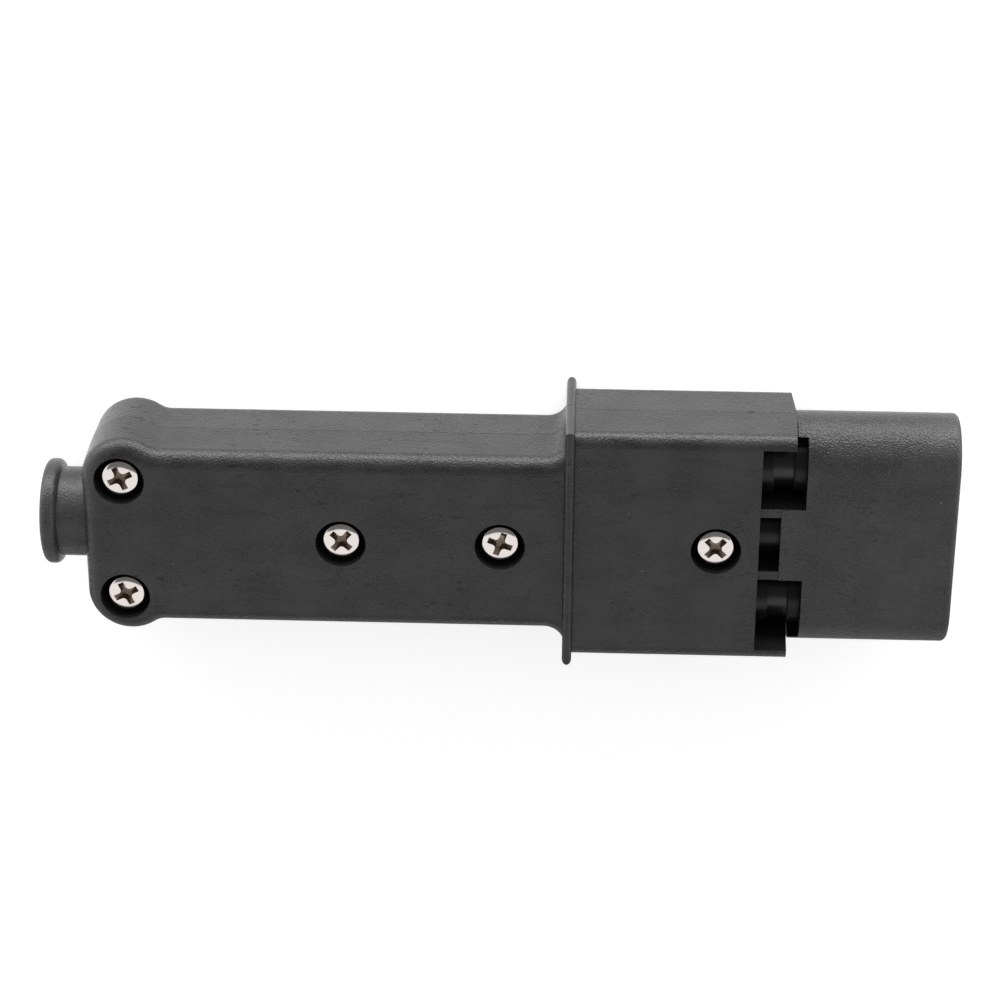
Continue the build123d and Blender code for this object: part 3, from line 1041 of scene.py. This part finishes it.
    def punch(self) -> bmesh.types.BMesh:
        """Makes the form of the driver that stamps the recess, wide at the top and pointed below.

        Returns:
            Its closed mesh.
        """
        reach = self.head_radius * self.wing_reach_share
        width = self.head_radius * self.wing_width_share
        depth = self.head_height * self.recess_depth_share
        levels = [(self.proud, 1.0), (-self.recess_mouth * depth, 1.0), (-depth, self.wing_taper)]
        shape = bmesh.new()
        rings = []
        for level, share in levels:
            narrowed = self.wing_width_floor + (1 - self.wing_width_floor) * share
            outline = self.recess_outline(reach * share, width * narrowed)
            height = self.head_height + level
            rings.append([shape.verts.new((x, y, height)) for x, y in outline])
        for upper, lower in zip(rings, rings[1:]):
            for i in range(len(upper)):
                j = (i + 1) % len(upper)
                shape.faces.new((upper[i], upper[j], lower[j], lower[i]))
        shape.faces.new(rings[0])
        bottom = shape.verts.new((0, 0, self.head_height - depth - self.point_drop))
        for i in range(len(rings[-1])):
            shape.faces.new((rings[-1][i], rings[-1][(i + 1) % len(rings[-1])], bottom))
        bmesh.ops.recalc_face_normals(shape, faces=shape.faces)
        return shape

    def build(self, plate: bpy.types.Material, recess: bpy.types.Material) -> bpy.types.Object:
        """Makes the screw, punches its recess, dresses it and seats it.

        Args:
            plate: the finish of the outside.
            recess: the finish of the punched recess.

        Returns:
            The screw.
        """
        screw = object_from(self.blank(), self.node + "_threaded", (plate, recess))
        cutter = object_from(self.punch(), self.node + "_punch", (plate, recess))
        for face in cutter.data.polygons:
            face.material_index = 1
        cut = screw.modifiers.new("recess", "BOOLEAN")
        cut.operation = "DIFFERENCE"
        cut.solver = "EXACT"
        cut.object = cutter
        apply_modifiers(screw)
        bpy.data.objects.remove(cutter)
        smooth_by_angle(screw, self.sharp_angle_deg)
        turn = Matrix.Rotation(math.radians(self.turn_deg), 4, "Z")
        screw.matrix_world = Matrix.Translation(self.seat) @ turn
        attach(screw, "root")
        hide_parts(self.node)
        return screw


@dataclass
class Fasteners:
    """Case screws and clamp screws, each node with the turn of its recess in degrees."""

    case_turns: Mapping[str, float] = field(
        default_factory=lambda: {
            "case_screw_tail_upper": 24.0,
            "case_screw_tail_lower": 26.0,
            "case_screw_middle": 48.0,
            "case_screw_neck": -20.0,
            "case_screw_head": 45.0,
        }
    )
    clamp_turns: Mapping[str, float] = field(
        default_factory=lambda: {"clamp_screw_upper": 0.0, "clamp_screw_lower": 0.0}
    )
    case_head_height: float = 2.3 * MM
    case_length: float = 20.0 * MM
    case_shank_share: float = 1.9 / 3.9
    clamp_head_height: float = 1.8 * MM
    clamp_length: float = 8.0 * MM
    clamp_shank_share: float = 1.4 / 2.8

    def build(self) -> list[bpy.types.Object]:
        """Makes every screw.

        Returns:
            The screws.
        """
        plate = TurnedMetal("nickel_plate", Metal.NICKEL, tarnish_share=0.06).material()
        recess = TurnedMetal(
            "punched_recess", Metal.RECESS, tarnish=(0.66, 0.58, 0.5, 1.0), tarnish_share=0.9, cloud_mm=0.8
        ).material()
        screws = []
        for turns, height, length, share in (
            (self.case_turns, self.case_head_height, self.case_length, self.case_shank_share),
            (self.clamp_turns, self.clamp_head_height, self.clamp_length, self.clamp_shank_share),
        ):
            for node, turn in turns.items():
                screws.append(CrossScrew(node, turn, height, length, share).build(plate, recess))
        return screws


def face_target(
    thing: bpy.types.Object, target: Vector, azimuth_deg: float, elevation_deg: float, distance: float
) -> None:
    """Sets a thing at a distance from the target, turned towards it.

    Args:
        thing: the lamp or card.
        target: what it faces.
        azimuth_deg: its direction round the target, from +X towards +Y.
        elevation_deg: its height above the target's level.
        distance: its distance from the target.
    """
    turn, rise = math.radians(azimuth_deg), math.radians(elevation_deg)
    away = Vector((math.cos(turn) * math.cos(rise), math.sin(turn) * math.cos(rise), math.sin(rise)))
    thing.location = target + away * distance
    thing.rotation_euler = away.to_track_quat("Z", "Y").to_euler()


@dataclass(frozen=True)
class SoftBox:
    """Area lamp that faces the plug and that no mirror shows."""

    title: str
    width: float
    depth: float
    radiance: float
    azimuth_deg: float
    elevation_deg: float
    distance: float

    def build(self, target: Vector) -> bpy.types.Object:
        """Makes the lamp and aims it.

        Args:
            target: the middle of the plug.

        Returns:
            The lamp.
        """
        lamp = bpy.data.lights.new(self.title, "AREA")
        lamp.shape = "RECTANGLE"
        lamp.size = self.width
        lamp.size_y = self.depth
        lamp.energy = self.radiance * math.pi * self.width * self.depth
        box = bpy.data.objects.new(self.title, lamp)
        bpy.context.scene.collection.objects.link(box)
        box.visible_camera = False
        box.visible_glossy = False
        face_target(box, target, self.azimuth_deg, self.elevation_deg, self.distance)
        return box


@dataclass(frozen=True)
class Card:
    """Evenly lit card that only shows as a patch in what is glossy."""

    title: str
    width: float
    depth: float
    radiance: float

    def sheet(self) -> bpy.types.Object:
        """Makes the card, level and at the origin.

        Returns:
            The card.
        """
        material, graph = new_material(self.title)
        even = graph.node("Emission", None, {"Color": grey(1.0), "Strength": self.radiance})
        graph.surface(even.outputs[0])
        shape = bmesh.new()
        bmesh.ops.create_grid(shape, x_segments=1, y_segments=1, size=0.5)
        bmesh.ops.scale(shape, vec=(self.width, self.depth, 1.0), verts=shape.verts)
        card = object_from(shape, self.title, (material,))
        for kind in ("camera", "diffuse", "shadow", "transmission"):
            setattr(card, "visible_" + kind, False)
        return card


@dataclass(frozen=True)
class AimedCard(Card):
    """Card that faces the middle of the plug."""

    azimuth_deg: float
    elevation_deg: float
    distance: float

    def build(self, target: Vector) -> bpy.types.Object:
        """Makes the card and aims it.

        Args:
            target: the middle of the plug.

        Returns:
            The card.
        """
        card = self.sheet()
        face_target(card, target, self.azimuth_deg, self.elevation_deg, self.distance)
        return card


@dataclass(frozen=True)
class LaidCard(Card):
    """Card that lies just over the floor, along one side of the plug."""

    middle_y: float
    height: float = 1.0 * MM

    def build(self, target: Vector) -> bpy.types.Object:
        """Makes the card and lays it beside the plug.

        Args:
            target: the middle of the plug.

        Returns:
            The card.
        """
        card = self.sheet()
        card.location = (target.x, self.middle_y, self.height)
        return card


@dataclass
class Studio:
    """Pale floor, white surroundings, one soft lamp and the cards that the plug mirrors.

    The floor's glow is what the camera sees of it beside its own colour, and its gleam is what a
    mirror does. The surround is what the surroundings shed on the plug.
    """

    floor_side: float = 8.0
    floor_cells: int = 8
    floor_level: float = 0.78
    floor_spread: float = 0.02
    floor_tooth_mm: float = 0.6
    floor_detail: float = 3.0
    floor_glow: float = 0.6
    floor_gleam: float = 0.63
    surround: float = 0.6
    lights: tuple[Union[SoftBox, AimedCard, LaidCard], ...] = (
        SoftBox(
            "side_softbox", width=1.2, depth=0.15, radiance=15.0,
            azimuth_deg=90.0, elevation_deg=7.0, distance=0.55,
        ),
        AimedCard(
            "grey_card", width=0.9, depth=0.75, radiance=0.16,
            azimuth_deg=90.0, elevation_deg=70.0, distance=0.6,
        ),
        AimedCard(
            "white_card", width=1.4, depth=0.06, radiance=4.8,
            azimuth_deg=90.0, elevation_deg=5.5, distance=0.5,
        ),
        AimedCard(
            "lower_card", width=1.4, depth=0.5, radiance=0.5,
            azimuth_deg=-90.0, elevation_deg=20.0, distance=0.6,
        ),
        LaidCard("white_floor_card", width=1.2, depth=0.21, radiance=7.5, middle_y=195.0 * MM),
        LaidCard("grey_floor_card", width=0.5, depth=0.14, radiance=0.35, middle_y=-98.0 * MM),
    )

    @staticmethod
    def rays(graph: Graph, seen: float, mirrored: float) -> Signal:
        """Makes a level that depends on what looks.

        Args:
            graph: the node tree that it is for.
            seen: the level for the camera.
            mirrored: the level for a mirror or a glass.

        Returns:
            The level, 0 for all the rest.
        """
        path = graph.node("LightPath")
        camera, glossy, through = (
            Signal(graph, path.outputs[f"Is {kind} Ray"]) for kind in ("Camera", "Glossy", "Transmission")
        )
        return (camera * seen).or_(glossy.or_(through) * mirrored)

    def world(self) -> None:
        """White surroundings that light the plug at a plain level."""
        world = bpy.data.worlds.new("surroundings")
        world.use_nodes = True
        bpy.context.scene.world = world
        graph = Graph(world.node_tree)
        strength = self.rays(graph, 1.0, 1.0) * (1 - self.surround) + self.surround
        sky = graph.node("Background", None, {"Color": grey(1.0), "Strength": strength})
        graph.surface(sky.outputs[0], "OutputWorld")

    def floor(self) -> bpy.types.Object:
        """Makes the pale floor, which keeps the plug's shadow.

        Returns:
            The floor.
        """
        material, graph = new_material("floor_paper")
        tooth = graph.noise(graph.place_mm(), self.floor_tooth_mm, self.floor_detail)
        paper = graph.mix(tooth, grey(self.floor_level), grey(self.floor_level + self.floor_spread))
        matt = graph.node("BsdfDiffuse", None, {"Color": paper, "Roughness": 1.0})
        glow = self.rays(graph, self.floor_glow, self.floor_gleam)
        lit = graph.node("Emission", None, {"Strength": glow})
        both = graph.node("AddShader", None, {0: matt.outputs[0], 1: lit.outputs[0]})
        graph.surface(both.outputs[0])
        shape = bmesh.new()
        cells, half = self.floor_cells, self.floor_side / 2
        bmesh.ops.create_grid(shape, x_segments=cells, y_segments=cells, size=half)
        floor = object_from(shape, "floor", (material,))
        return floor

    def build(self) -> list[bpy.types.Object]:
        """Sets up the surroundings, the floor, the lamp and the cards.

        Returns:
            The objects that stand round the plug.
        """
        self.world()
        target = (cad_bounds[0] + cad_bounds[1]) / 2
        return [self.floor(), *(light.build(target) for light in self.lights)]


@dataclass(frozen=True)
class PhotoCamera:
    """The photograph's viewpoint: nearly square to the screw face, from its upper side."""

    tilt_deg: float = 25.906
    roll_deg: float = 0.3205
    yaw_deg: float = 1.860
    shift_right: float = 0.545 * MM
    shift_up: float = 4.08 * MM
    distance: float = 611.76 * MM
    focal_px: float = 2856.9
    frame_px: float = 1000.0
    sensor_mm: float = 36.0

    def build(self) -> bpy.types.Object:
        """Makes the camera and gives it to the scene.

        Returns:
            The camera.
        """
        lens = bpy.data.cameras.new("photo_camera")
        lens.sensor_width = self.sensor_mm
        lens.lens = self.focal_px / self.frame_px * self.sensor_mm
        camera = bpy.data.objects.new("photo_camera", lens)
        middle = Vector((0, 0, (cad_bounds[0].z + cad_bounds[1].z) / 2))
        turned = (
            Matrix.Rotation(math.radians(self.yaw_deg), 4, "Y")
            @ Matrix.Rotation(math.radians(-self.tilt_deg), 4, "X")
            @ Matrix.Rotation(math.radians(self.roll_deg), 4, "Z")
        )
        back = Matrix.Translation((self.shift_right, self.shift_up, self.distance))
        camera.matrix_world = Matrix.Translation(middle) @ turned @ back
        bpy.context.scene.collection.objects.link(camera)
        bpy.context.scene.camera = camera
        return camera


def main() -> None:
    """Builds the studio and dresses the plug, one sub-assembly after another."""
    logging.basicConfig(level=logging.INFO, format="%(message)s")
    bpy.context.scene.view_settings.view_transform = "Standard"
    assemblies = {
        "camera": [PhotoCamera().build()],
        "studio": Studio().build(),
        "casing": Casing().build(),
        "contact block": ContactBlock().build(),
        "cord entry": CordEntry().build(),
        "fasteners": Fasteners().build(),
    }
    for title, pieces in assemblies.items():
        for piece in pieces:
            LOG.info("%s: %s", title, piece.name)


if __name__ == "__main__":
    main()
